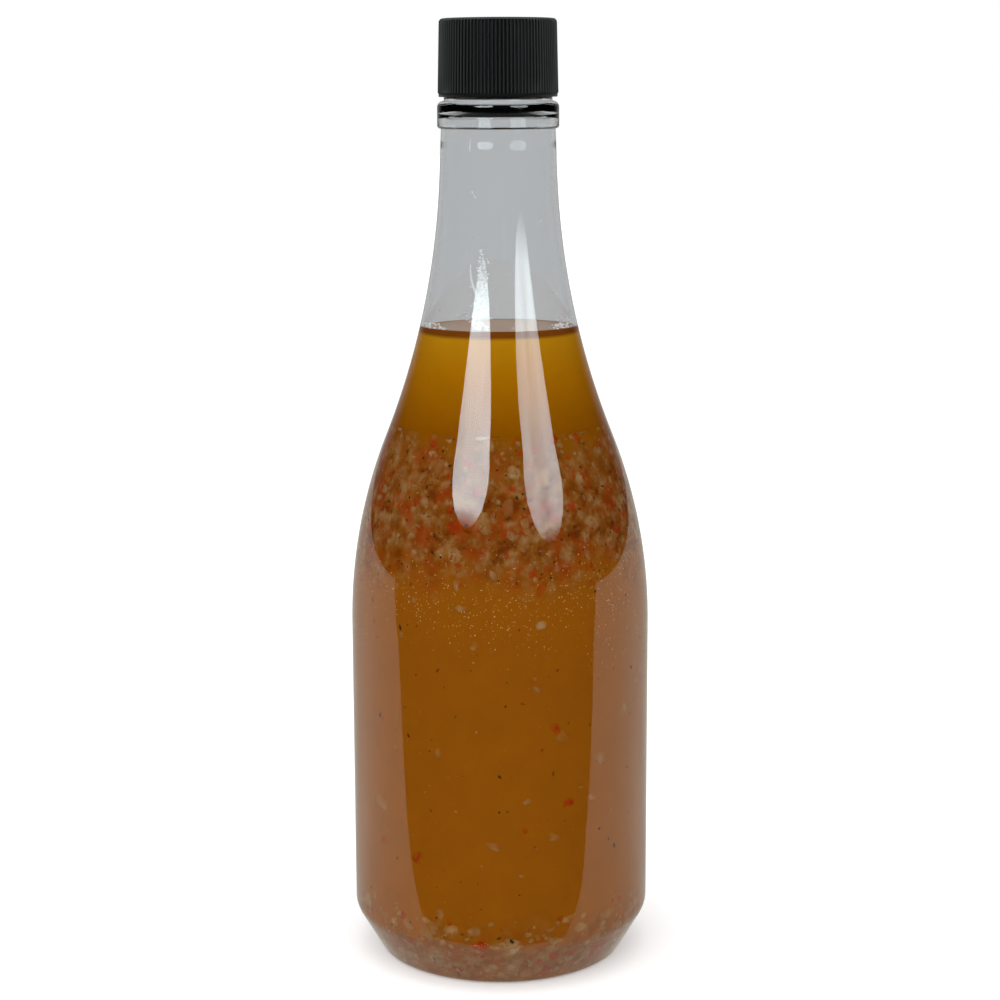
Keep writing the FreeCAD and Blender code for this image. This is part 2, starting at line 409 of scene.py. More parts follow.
# Base: a sloped band, its rounded corners and the standing ring, and the dish with its nub.
CHAMFER_H, CHAMFER_DEG, CORNER_R, HEEL_R, RING_W = 11.6 * MM, 30.0, 6 * MM, 2.6 * MM, 2 * MM
PUSH_UP, GATE_R, GATE_H, FLOOR_T = 3.2 * MM, 2 * MM, 0.9 * MM, 1.1 * MM
# Bead: the rounding of its two edges, and the share of its height where the wall thickens.
BEAD_LOW_R, BEAD_HIGH_R, BLEND_START = 0.7 * MM, 1.5 * MM, 0.35
# A slight step inside the neck, below the bead: how far down, how tall and how deep.
STEP_Z, STEP_TALL, STEP_T = 5.1 * MM, 2.8 * MM, 0.18 * MM
# Cap: its draft towards the crown, rounded rim, room in its bore, and the crown's recess.
CAP_DRAFT, CAP_RIM, BORE_ROOM = 0.4 * MM, 0.9 * MM, 0.15 * MM
RECESS_TOP, RECESS_FOOT, RECESS_DEEP = 2.2 * MM, 2.5 * MM, 0.15 * MM
# Cap's lip: its bevels, how far it stands back in shares of a rib, and the ribs' lower ends.
BORE_BEVEL, LIP_BEVEL, LIP_SIDE, LIP_FOOT = 0.2 * MM, 0.15 * MM, 0.45, 0.7
RIB_BELOW, RIB_ABOVE = 0.12 * MM, 0.1 * MM
# Ribs: a power over 1 makes them narrower than the grooves; they run out round the rim by this
# angle. Grooves are painted darker as shade, by a power of their depth, and smooth parts beside
# them are darkened by a share.
RIB_POWER, RIB_END, GROOVE_POWER, PLAIN_DARK = 3.2, 75, 0.45, 0.9
# How far the oil and the dressing reach into the wall, so that no air gap shows.
OIL_BITE, BITE = 0.12 * MM, 0.05 * MM
# Bits go no deeper into the wall and no lower than this.
BIT_BITE, BIT_LOWEST = 0.10 * MM, 1.2 * MM
# Steps round the bottle, the liquids, one rib of the cap, and a softbox.
BOTTLE_STEPS, LIQUID_STEPS, RIB_STEPS, BOX_STEPS = 256, 192, 10, 48
# The raised edge of the oil where it climbs the wall: its height, and its reach inwards.
MENISCUS_RISE, MENISCUS_WIDTH = 0.9 * MM, 0.8 * MM


def wall_path(inset, floor):
    """Profile from the dished floor up to the top of the flare, inset from the outside."""
    s = bpy.context.scene.bottle_sizes
    neck_z = BEAD_TOP - s.bead_height - NECK_STRAIGHT
    slope, taper, lean = (math.radians(d) for d in (SLOPE, TAPER, CHAMFER_DEG))
    drop = (SHOULDER_R * math.sin(slope) + SLOPE_RUN * math.cos(slope)
            + FLARE_R * (math.sin(slope) - math.sin(taper)))
    foot = (s.body_radius - SHOULDER_R, neck_z - drop)
    round_ = arc_points(foot, SHOULDER_R - inset, 0, SLOPE, 40)
    end = round_[-1]
    start = (end[0] - SLOPE_RUN * math.sin(slope), end[1] + SLOPE_RUN * math.cos(slope))
    flare = FLARE_R + inset
    hollow = (start[0] + flare * math.cos(slope), start[1] + flare * math.sin(slope))
    curve = arc_points(hollow, flare, 180 + SLOPE, 180 + TAPER, 60)
    top_corner = (s.body_radius - inset, CHAMFER_H + inset * math.tan(lean / 2))
    heel = (s.body_radius - inset - (top_corner[1] - floor) * math.tan(lean), floor)
    ring_in = (heel[0] - RING_W - HEEL_R, floor)
    halfway = (ring_in[0] * 0.55, floor + PUSH_UP * 0.72)
    dish = through((GATE_R, floor + PUSH_UP), halfway, ring_in, 24)
    return (dish + rounded(ring_in, heel, top_corner, HEEL_R - inset)
            + rounded(heel, top_corner, round_[0], CORNER_R - inset, 10) + round_ + curve)


def ease(t):
    """Smooth step from 0 to 1."""
    return 3 * t * t - 2 * t ** 3


def outer_path():
    """Profile of the outside, from the moulding nub under the dish to the mouth."""
    s = bpy.context.scene.bottle_sizes
    path = wall_path(0.0, 0.0)
    neck, bead_z = path[-1], BEAD_TOP - s.bead_height
    under = (neck[0] - (bead_z - neck[1]) * math.tan(math.radians(TAPER)), bead_z)
    low, high = (s.bead_radius, bead_z), (s.bead_radius, BEAD_TOP)
    gap = (s.finish_radius, BEAD_TOP)
    low_arc = rounded(under, low, high, min(BEAD_LOW_R, 0.95 * (s.bead_radius - under[0])))
    high_arc = rounded(low, high, gap, BEAD_HIGH_R)
    nub = [(0.0, PUSH_UP - GATE_H), (GATE_R / 2, PUSH_UP - GATE_H)]
    return nub + path + [under] + low_arc + high_arc + [gap, (s.finish_radius, s.mouth_height)]


def inner_path(inset):
    """Profile of the inside, from the middle of the floor to the mouth."""
    s = bpy.context.scene.bottle_sizes
    path = wall_path(inset, FLOOR_T + (inset - s.wall))
    neck, bead_z = path[-1], BEAD_TOP - s.bead_height
    blend_z, bore_z = bead_z + BLEND_START * s.bead_height, BEAD_TOP
    lean = math.tan(math.radians(TAPER))
    step_z = bead_z - STEP_Z
    thicker = [(neck[0] - (step_z + STEP_TALL * t - neck[1]) * lean - STEP_T * ease(t),
                step_z + STEP_TALL * t) for t in np.linspace(0, 1, 10)]
    blend = (neck[0] - (blend_z - neck[1]) * lean - STEP_T, blend_z)
    grow = [(blend[0] + (s.bore_radius - blend[0]) * ease(t),
             blend_z + (bore_z - blend_z) * t) for t in np.linspace(0, 1, 14)]
    return [(0.0, path[0][1])] + path + thicker + grow + [(s.bore_radius, s.mouth_height)]


def wall_radius(inset):
    """Function that gives the radius at a height, above the standing ring, of the inner wall
    as it would be with this thickness."""
    path = inner_path(inset)
    low = min(range(len(path) // 2), key=lambda i: (path[i][1], -path[i][0]))
    side = sorted(((z, r) for r, z in path[low:]), key=lambda p: p[0])
    zs, rs = np.array([p[0] for p in side]), np.array([p[1] for p in side])
    return lambda z: np.interp(z, zs, rs)


def make_object(name, verts, faces, materials, smooth=35.0):
    """A mesh object, smooth but for edges sharper than this angle in degrees."""
    mesh = bpy.data.meshes.new(name)
    mesh.from_pydata([tuple(v) for v in verts], [], [tuple(f) for f in faces])
    mesh.validate()
    obj = bpy.data.objects.new(name, mesh)
    bpy.context.scene.collection.objects.link(obj)
    for mat in materials:
        mesh.materials.append(mat)
    mesh.polygons.foreach_set("use_smooth", [True] * len(mesh.polygons))
    mesh.set_sharp_from_angle(angle=math.radians(smooth))
    mesh.update()
    return obj


def skin(rows, inwards=False):
    """Faces between rows of vertex numbers that run round the axis. A pole's row repeats one
    number, so its faces are triangles."""
    faces = []
    for low, high in zip(rows, rows[1:]):
        for i in range(len(low)):
            j = (i + 1) % len(low)
            quad = [low[i], low[j], high[j], high[i]]
            if inwards:
                quad = quad[:1] + quad[:0:-1]
            face = [v for k, v in enumerate(quad) if v not in quad[:k]]
            if len(face) > 2:
                faces.append(face)
    return faces


def lathe(path, segments, wobble=None):
    """Vertices and faces of a profile turned about Z. Points at radius 0 become poles."""
    angles = np.linspace(0, 2 * math.pi, segments, endpoint=False)
    verts, rows = [], []
    for r, z in path:
        if r < 1e-7:
            rows.append([len(verts)] * segments)
            verts.append((0.0, 0.0, z))
            continue
        rows.append(list(range(len(verts), len(verts) + segments)))
        for a in angles:
            rr, zz = wobble(r, z, a) if wobble else (r, z)
            verts.append((rr * math.cos(a), rr * math.sin(a), zz))
    return verts, skin(rows)


def tidy_path(path, gap=0.02 * MM):
    """Drops points that repeat the one before."""
    kept = [path[0]]
    for p in path[1:]:
        if math.hypot(p[0] - kept[-1][0], p[1] - kept[-1][1]) > gap:
            kept.append(p)
    return kept


def finish_piece(obj, slot, *nodes):
    """Lets a piece ride on the bottle's body, and hides the nodes it stands for. Its finish is not
    used.
    """
    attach(obj, ROOT)
    if nodes:
        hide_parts(*nodes)


def paint(obj, name, values):
    """Stores one number a vertex, for the material to read."""
    layer = obj.data.attributes.new(name, "FLOAT", "POINT")
    layer.data.foreach_set("value", np.array(values, np.float32))


def ball(level):
    """Unit icosphere as arrays."""
    bm = bmesh.new()
    bmesh.ops.create_icosphere(bm, subdivisions=level, radius=1.0)
    verts = np.array([v.co[:] for v in bm.verts])
    faces = np.array([[v.index for v in f.verts] for f in bm.faces])
    bm.free()
    return verts, faces


def scatter(name, material, slot, seeds, shape, jitter, rng, soft):
    """One mesh of many bits pressed against the inner wall. Each seed is (angle, height, length,
    width, thickness, haze, sink); sink is how far below the wall the bit's middle lies. A bit
    fades out over its edge, where it dips into the cloudy dressing."""
    base, tris = ball(shape)
    radius_at = wall_radius(bpy.context.scene.bottle_sizes.wall)
    all_verts, all_faces, haze, count = [], [], [], 0
    for angle, height, length, width, thick, dim, sink in seeds:
        lumps = 1 + jitter * (rng.random(len(base)) - 0.5)
        v = base * lumps[:, None]
        turn = rng.uniform(0, math.pi)
        x, y = v[:, 0] * length / 2, v[:, 1] * width / 2
        x, y = x * math.cos(turn) - y * math.sin(turn), x * math.sin(turn) + y * math.cos(turn)
        w = v[:, 2] * thick / 2 - sink
        shown = np.clip((w - BITE) / (soft * thick), 0, 1)
        zz = np.maximum(height + y, BIT_LOWEST)
        rr = radius_at(zz) + np.minimum(w, BIT_BITE)
        aa = angle + x / float(radius_at(height))
        all_faces.append(tris + count)
        all_verts.append(np.stack([rr * np.cos(aa), rr * np.sin(aa), zz], 1))
        count += len(base)
        haze.append(1 - (1 - dim) * shown)
    obj = make_object(name, np.concatenate(all_verts), np.concatenate(all_faces), [material], 60)
    paint(obj, "haze", np.concatenate(haze))
    finish_piece(obj, slot)


# ---------------------------------------------------------------- operators

class MakeBottle(bpy.types.Operator):
    """Blow the clear bottle: shell with conical neck, flared shoulder, bead and dished base"""
    bl_idname = "dressing.make_bottle"
    bl_label = "Bottle"

    def execute(self, context):
        s, d = context.scene.bottle_sizes, context.scene.dressing
        outside, inside = outer_path(), inner_path(s.wall)
        path = tidy_path(outside + inside[::-1])
        verts, faces = lathe(path, BOTTLE_STEPS)
        shell = make_object("bottle_shell", verts, faces,
                            [pet_material("pet_blown_clear", False),
                             pet_material("pet_blown_wetted", True)])
        # inner faces below the oil's level are wetted
        reach = wall_radius(s.wall / 2)
        for face in shell.data.polygons:
            c = face.center
            if c.z < d.oil_top and math.hypot(c.x, c.y) < reach(c.z) and face.normal.z < 0.99:
                face.material_index = 1
        finish_piece(shell, "clear_pet", "bottle")
        return {"FINISHED"}


class MakeCap(bpy.types.Operator):
    """Mould the black screw cap with its fine grip ribs"""
    bl_idname = "dressing.make_cap"
    bl_label = "Cap"

    def execute(self, context):
        c, s = context.scene.cap_sizes, context.scene.bottle_sizes
        low, high, lip_r = BEAD_TOP + CAP_GAP, CAP_HIGH[2], CAP_HIGH[0]
        crown_r, rim = lip_r - CAP_DRAFT, CAP_RIM
        bore, roof = s.finish_radius + BORE_ROOM, s.mouth_height
        rib_low, rib_high = low + c.lip_height, high - rim

        def taper(z):
            return lip_r + (crown_r - lip_r) * (z - low) / (high - low)

        lip_side = lip_r - c.rib_depth * LIP_SIDE
        # each point: radius, height, and the depth of the grooves there as a share
        profile = [(0, roof, 0), (bore, roof, 0), (bore, low + BORE_BEVEL, 0),
                   (bore + BORE_BEVEL, low, 0), (lip_r - c.rib_depth * LIP_FOOT, low, 0),
                   (lip_side, low + LIP_BEVEL, 0), (lip_side, rib_low - RIB_BELOW, 0),
                   (taper(rib_low), rib_low + RIB_ABOVE, 1)]
        for t in np.linspace(0, 1, 5)[1:]:
            z = rib_low + (rib_high - rib_low) * t
            profile.append((taper(z), z, 1))
        for a in np.radians(np.linspace(0, 90, 8)):
            fade = max(0.0, 1 - math.degrees(a) / RIB_END)
            profile.append((taper(high) - rim + rim * math.cos(a),
                            high - rim + rim * math.sin(a), fade))
        profile += [(crown_r - RECESS_TOP, high, 0),
                    (crown_r - RECESS_FOOT, high - RECESS_DEEP, 0), (0, high - RECESS_DEEP, 0)]
        steps = c.ribs * RIB_STEPS
        wave = [(0.5 - 0.5 * math.cos(2 * math.pi * c.ribs * i / steps)) ** RIB_POWER
                for i in range(steps)]
        groove_floor = lip_r - c.rib_depth
        verts, rows, groove_shade = [], [], []
        for r, z, ribbed in profile:
            if r == 0:
                rows.append([len(verts)] * steps)
                verts.append((0, 0, z))
                groove_shade.append(0.0)
                continue
            rows.append(list(range(len(verts), len(verts) + steps)))
            for i in range(steps):
                a = 2 * math.pi * i / steps
                rr = r - c.rib_depth * ribbed * (1 - wave[i])
                # painted shade: grooves darker by a power of their depth, smooth parts darkened by
                # a share
                groove_shade.append(0.0 if r < groove_floor else
                              ribbed * (1 - wave[i]) ** GROOVE_POWER
                              + PLAIN_DARK * (1 - ribbed))
                verts.append((rr * math.cos(a), rr * math.sin(a), z))
        cap = make_object("cap_ribbed", verts, skin(rows, True), [cap_material()], 40)
        paint(cap, "groove_painted_shade", groove_shade)
        finish_piece(cap, "black_cap_plastic", "cap")
        return {"FINISHED"}


class FillDressing(bpy.types.Operator):
    """Fill the bottle: amber oil with its meniscus, herb oil, cloudy vinegar and sediment"""
    bl_idname = "dressing.fill"
    bl_label = "Dressing"

    def execute(self, context):
        s, d = context.scene.bottle_sizes, context.scene.dressing
        self.pour_oil(d, wall_radius(s.wall - OIL_BITE))
        core = wall_radius(s.wall - BITE)
        inside = inner_path(s.wall - BITE)
        rng = np.random.default_rng(d.seed)
        waves = [(k, rng.uniform(0, 6.28), rng.uniform(0.3, 1)) for k in (3, 5, 8, 13, 21, 34)]

        def heave(r, z, a):
            """An uneven top, so that the herbs don't end at a ruled line."""
            if z < d.herb_top - 0.5 * MM:
                return r, z
            lift = sum(g * math.sin(k * a + p + 160 * r * (k % 4 + 1)) for k, p, g in waves)
            return r, z + lift * 0.12 * MM * min(1, r / (6 * MM))

        layers = {"herb_oil_raft": (d.vinegar_top, d.herb_top, "herb_raft", "herb_layer"),
                  "vinegar_dressing": (d.sediment_top, d.vinegar_top, "cloudy_vinegar",
                                       "vinegar_layer")}
        for name, (low, high, slot, cad) in layers.items():
            side = ([(float(core(low)), low)] + [p for p in inside if low < p[1] < high
                                                 and p[0] > 0.5 * s.body_radius]
                    + [(float(core(high)), high)])
            floor = [(0.0, low)]
            roof = [(r * side[-1][0], high) for r in np.linspace(1, 0, 22)[1:-1]] + [(0.0, high)]
            verts, faces = lathe(floor + side + roof, LIQUID_STEPS, heave)
            piece = make_object(name, verts, faces, [dressing_material(name)], 50)
            finish_piece(piece, slot, cad)
        cut = next(i for i, p in enumerate(inside) if p[1] > d.sediment_top and p[0] > 0.02)
        bowl = inside[:cut] + [(float(core(d.sediment_top)), d.sediment_top),
                               (0.0, d.sediment_top)]
        verts, faces = lathe(tidy_path(bowl), LIQUID_STEPS)
        piece = make_object("herb_sediment_bed", verts, faces,
                            [dressing_material("herb_sediment_bed")], 50)
        finish_piece(piece, "herb_sediment", "sediment_layer")
        return {"FINISHED"}

    def pour_oil(self, d, reach):
        """The oil, which climbs the wall in front and less so at the back."""
        low = d.herb_top - 0.1 * MM
        rise, width = MENISCUS_RISE, MENISCUS_WIDTH
        side = [(float(reach(z)), z) for z in np.linspace(low, d.oil_top + rise, 30)]
        edge = side[-1][0]
        across = [edge - width * t for t in (0.08, 0.2, 0.4, 0.7, 1.1, 1.6, 2.2, 3.0, 4.5)]
        top = [(r, d.oil_top + rise * math.exp(-(edge - r) / width)) for r in across]

        def sink(r, z, a):
            return r, z - max(0.0, z - d.oil_top) * 0.45 * (1 + math.sin(a))

        verts, faces = lathe([(0.0, low)] + side + top + [(0.0, d.oil_top)], BOTTLE_STEPS, sink)
        oil = make_object("oil_clear", verts, faces,
                          [oil_material("oil_amber", False), oil_material("oil_amber_wall", True)])
        for face in oil.data.polygons:
            c = face.center
            if math.hypot(c.x, c.y) > float(reach(c.z)) - 0.06 * MM:
                face.material_index = 1
        finish_piece(oil, "amber_oil", "oil_layer")


class ScatterBits(bpy.types.Operator):
    """Sink the chopped garlic, red pepper, herbs and pepper specks in the dressing"""
    bl_idname = "dressing.scatter_bits"
    bl_label = "Garlic, pepper and herbs"

    def execute(self, context):
        d = context.scene.dressing
        rng = np.random.default_rng(d.seed + 1)
        top, mid, low = d.herb_top, d.vinegar_top, d.sediment_top

        # heights of bits in the raft, thinly in the vinegar, and in the bed
        def raft(count):
            return top - 0.3 * MM - rng.beta(1.1, 1.5, count) * (top - mid + 5 * MM)

        def thin(count):
            return rng.uniform(low + 2 * MM, mid - 4 * MM, count)

        def bed(count):
            return 2.0 * MM + rng.beta(1.1, 1.9, count) * (low + 6 * MM)

        def seeds(zs, size, aspect, thick, haze, sink, angles=None):
            """Rows for scatter. The size is the usual length in mm; aspect and thick are shares
            of the length, haze runs from 0 to 1, and sink is a share of the thickness."""
            n = len(zs)
            length = np.minimum(rng.lognormal(math.log(size * MM), 0.35, n), 1.5 * size * MM)
            angles = rng.uniform(0, 2 * math.pi, n) if angles is None else angles
            return np.stack([angles, zs, length, length * rng.uniform(*aspect, n),
                             length * thick, rng.uniform(*haze, n),
                             length * thick * rng.uniform(*sink, n)], 1)

        def mixed(*groups):
            return np.concatenate([seeds(*group) for group in groups])

        edge, flat = (0.0, 0.32), (0.0, 0.12)
        # each kind: piece, material, slot, its bits, ball level, lumpiness and softness of edge
        kinds = (
            ("garlic_bits", bit_material("garlic_minced", "AC8650", "CEAE7E", 2.2), "herb_raft",
             mixed((raft(310), 2.8, (0.45, 0.95), 0.5, (0.3, 0.95), edge),
                   (thin(62), 2.8, (0.5, 0.9), 0.5, (0.3, 0.75), edge),
                   (bed(235), 3.5, (0.5, 0.95), 0.5, (0.15, 0.65), edge)), 2, 0.5, 0.4),
            ("garlic_crumbs", bit_material("garlic_crumbs", "A27E4A", "C8A876", 1.2), "herb_raft",
             mixed((raft(1150), 1.15, (0.4, 0.9), 0.5, (0.45, 0.95), flat),
                   (thin(60), 1.0, (0.5, 0.9), 0.5, (0.4, 0.8), flat),
                   (bed(800), 1.5, (0.5, 0.9), 0.5, (0.35, 0.85), flat)), 1, 0.5, 0.15),
            ("pepper_bits", bit_material("red_pepper_flakes", "A81E06", "C24410", 1.0),
             "herb_raft",
             mixed((raft(300), 2.6, (0.4, 0.9), 0.4, (0.15, 0.8), edge),
                   (thin(22), 2.4, (0.5, 0.9), 0.4, (0.1, 0.5), edge),
                   (bed(150), 2.4, (0.5, 0.9), 0.4, (0.0, 0.35), edge)), 2, 0.6, 0.3),
            ("herb_flecks", bit_material("herbs_dried", "241A0A", "453216", 0.5), "herb_raft",
             mixed((raft(420), 0.9, (0.3, 0.7), 0.4, (0.0, 0.6), flat),
                   (thin(80), 1.1, (0.3, 0.6), 0.4, (0.0, 0.5), flat),
                   (bed(80), 1.0, (0.3, 0.7), 0.4, (0.0, 0.6), flat)), 1, 0.3, 0.04),
            ("pepper_specks", bit_material("black_pepper_cracked", "140D06", "2E1E0E", 0.3),
             "herb_raft",
             mixed((raft(950), 0.5, (0.7, 1.0), 0.6, (0.0, 0.6), flat),
                   (thin(280), 0.55, (0.6, 1.0), 0.6, (0.0, 0.5), flat),
                   (bed(90), 0.5, (0.7, 1.0), 0.6, (0.0, 0.6), flat),
                   (top + rng.normal(0, 1.3, 160) * MM, 0.45, (0.6, 1.0), 0.6, (0.0, 0.6), flat),
                   (top + rng.exponential(4, 30) * MM, 0.6, (0.5, 1.0), 0.6, (0.0, 0.5), flat)),
             1, 0.3, 0.02),
        )
        for name, material, slot, rows, shape, jitter, soft in kinds:
            scatter(name, material, slot, rows, shape, jitter, rng, soft)

        # the glints are painted: pale golden specks stand for the light that tiny oil droplets
        # catch.
        # They gather in swarms under the herbs, with a few astray below
        swarms = 130
        middle_z = mid + 2 * MM - rng.beta(1.2, 1.9, swarms) * 27 * MM
        middle_a = rng.uniform(0, 2 * math.pi, swarms)
        home = rng.integers(0, swarms, 4600)
        zs = middle_z[home] + rng.normal(0, 3.0, len(home)) * MM
        angles = middle_a[home] + rng.normal(0, 4.2, len(home)) * MM / BOTTLE_HIGH[0]
        glints = np.concatenate([
            seeds(zs, 0.28, (0.5, 1.0), 0.9, (0.0, 0.9), (0.0, 0.1), angles),
            seeds(rng.uniform(low, mid, 1500), 0.22, (0.6, 1.0), 0.9, (0.3, 0.9), (0.0, 0.1))])
        # painted glints: bright golden colours in place of the sparkle of light
        scatter("oil_glints", bit_material("oil_droplets_painted_glints", "F2A838", "FFE8A8", 0.3),
                "cloudy_vinegar", glints, 0, 0.2, rng, 0.02)
        return {"FINISHED"}


class WetNeck(bpy.types.Operator):
    """Leave a broken film, runs and foam of oil on the inner wall above the liquid"""
    bl_idname = "dressing.wet_neck"
    bl_label = "Oil film"

    def execute(self, context):
        s, d = context.scene.bottle_sizes, context.scene.dressing
        rng = np.random.default_rng(d.seed + 5)
        radius_at = wall_radius(s.wall)
        base, tris = ball(2)
        verts, faces, count = [], [], 0
        # each spot is (angle, height, width in mm, height over width); first a few strays
        spots = []
        for _ in range(50):
            spots.append((rng.uniform(0, 2 * math.pi), d.oil_top + rng.exponential(9) * MM,
                          rng.uniform(0.15, 0.4), rng.uniform(0.8, 2.2)))
        # a broken film runs down one side of the neck, denser towards the oil
        front = math.radians(-105)
        for _ in range(240):
            z = d.oil_top + 1.2 * MM + rng.beta(0.9, 1.8) * 21 * MM
            spots.append((front + rng.normal(0, 0.055), z, rng.uniform(0.25, 0.9),
                          rng.uniform(0.3, 1.3)))
        # a run of oil beside it
        for t in np.linspace(0, 1, 50):
            spots.append((math.radians(-115 + 10 * t ** 2), d.oil_top + (16 - 8 * t) * MM,
                          0.35 + 0.4 * t, 1.6))
        # two faint wisps high up
        for t in np.linspace(0, 1, 12):
            spots.append((math.radians(-117 + 5 * t), (188.8 - 1.6 * t) * MM, 0.4, 0.6))
            spots.append((math.radians(-119.5), (200.6 - 2.4 * t) * MM, 0.3, 1.2))
        # foam clings where the oil meets the wall
        foam = (math.radians(-152), math.radians(-36), math.radians(20), math.radians(110))
        for k in range(130):
            spots.append((foam[k % 4] + rng.normal(0, 0.15), d.oil_top + rng.uniform(0.8, 2.0) * MM,
                          rng.uniform(0.4, 1.3), rng.uniform(0.2, 0.6)))
        for angle, z, size, tall in spots:
            if z > BEAD_TOP - 8 * MM:  # the bead stays clean
                continue
            x, y = base[:, 0] * size * MM / 2, base[:, 1] * size * tall * MM / 2
            w = base[:, 2] * size * 0.22 * MM
            zz = z + y
            # a flat spot, whose outer skin just reaches into the wall
            rr = radius_at(zz) + 0.03 * MM - size * 0.2 * MM + w
            aa = angle + x / float(radius_at(z))
            verts.append(np.stack([rr * np.cos(aa), rr * np.sin(aa), zz], 1))
            faces.append(tris + count)
            count += len(base)
        drops = make_object("oil_drops", np.concatenate(verts), np.concatenate(faces),
                            [film_material()], 80)
        finish_piece(drops, "amber_oil")
        return {"FINISHED"}


# Front edge of the white card. Its mirror image bounds the dark zone in front of the dressing.
CARD_FRONT = ((-2.5, -0.06), (-0.25, -0.06), (-0.12, -0.053), (0.0, -0.049), (0.076, -0.057),
              (0.12, -0.067), (0.25, -0.089), (0.35, -0.109), (0.6, -0.16), (2.5, -0.5))
CARD_DROP = 1e-4
# Each round softbox: azimuth in degrees, height, radius, power, unevenness and tint.
SOFTBOXES = {
    "left": (-28.3, 0.635, 0.287, 8.0, 0.18, (0.88, 1.0, 1.04, 1)),
    "right": (42.2, 0.568, 0.295, 5.4, 0.2, (0.9, 1.0, 1.02, 1)),
}
# How far away they stand, and how their lower rim fades: over what height and from what share.
BOX_AWAY, BOX_FADE, BOX_RIM = 0.9, 0.09, 0.1
# The share of a softbox's light that is seen through the bottle's wall.
BOX_INSIDE = 0.6
# How far the camera stands beside the bottle's axis, and its roll.
CAMERA_SIDE, CAMERA_ROLL = 0.47 * MM, math.radians(0.21)


def softbox_material(name, power, tint, patchy, foot):
    """Lamp behind diffuser cloth: slightly uneven, and fading out at its lower rim."""
    mat, tree = new_material(name)
    where = node(tree, "TexCoord").outputs["Object"]
    height = node(tree, "SeparateXYZ", Vector=where).outputs["Z"]
    cloud = node(tree, "TexNoise", Vector=where, Scale=per_mm(200), Detail=2.0)
    uneven = node(tree, "MapRange", Value=cloud, From_Min=0.3, From_Max=0.7,
                  To_Min=power * (1 - patchy), To_Max=power * (1 + patchy))
    fade = node(tree, "MapRange", SMOOTH, Value=height, From_Min=foot, From_Max=foot + BOX_FADE,
                To_Min=BOX_RIM)
    ray = node(tree, "LightPath")
    inside = node(tree, "MapRange", Value=ray.outputs["Is Transmission Ray"], To_Min=1.0,
                  To_Max=BOX_INSIDE)
    seen = node(tree, "Math", TIMES, i0=uneven, i1=inside)
    seen = node(tree, "Math", TIMES, i0=seen, i1=fade)
    lamp = node(tree, "Emission", Color=tint, Strength=seen)
    node(tree, "OutputMaterial", Surface=lamp)
    return mat


def card_material():
    """White card in soft light, made as a glow that only gloss sees: brightest to the bottle's
    sides, with painted shade close to its foot.
    """
    mat, tree = new_material("card_white")
    where = node(tree, "TexCoord").outputs["Object"]
    split = node(tree, "SeparateXYZ", Vector=where)
    away = node(tree, "VectorMath", {"operation": "LENGTH"}, i0=where)
    # painted shade of the bottle on the card, close to its foot
    near = node(tree, "MapRange", SMOOTH, Value=away, From_Min=0.05, From_Max=0.14, To_Min=0.78,
                To_Max=1.0)
    across = node(tree, "Math", {"operation": "ABSOLUTE"}, i0=split.outputs["X"])
    slant = node(tree, "Math", {"operation": "DIVIDE"}, i0=split.outputs["Y"], i1=across)
    side = node(tree, "MapRange", SMOOTH, Value=slant, From_Min=0.35, From_Max=1.1, To_Min=0.74,
                To_Max=0.56)
    power = node(tree, "Math", TIMES, i0=side, i1=near)
    lamp = node(tree, "Emission", Color=(1, 1, 0.9, 1), Strength=power)
    node(tree, "OutputMaterial", Surface=lamp)
    return mat


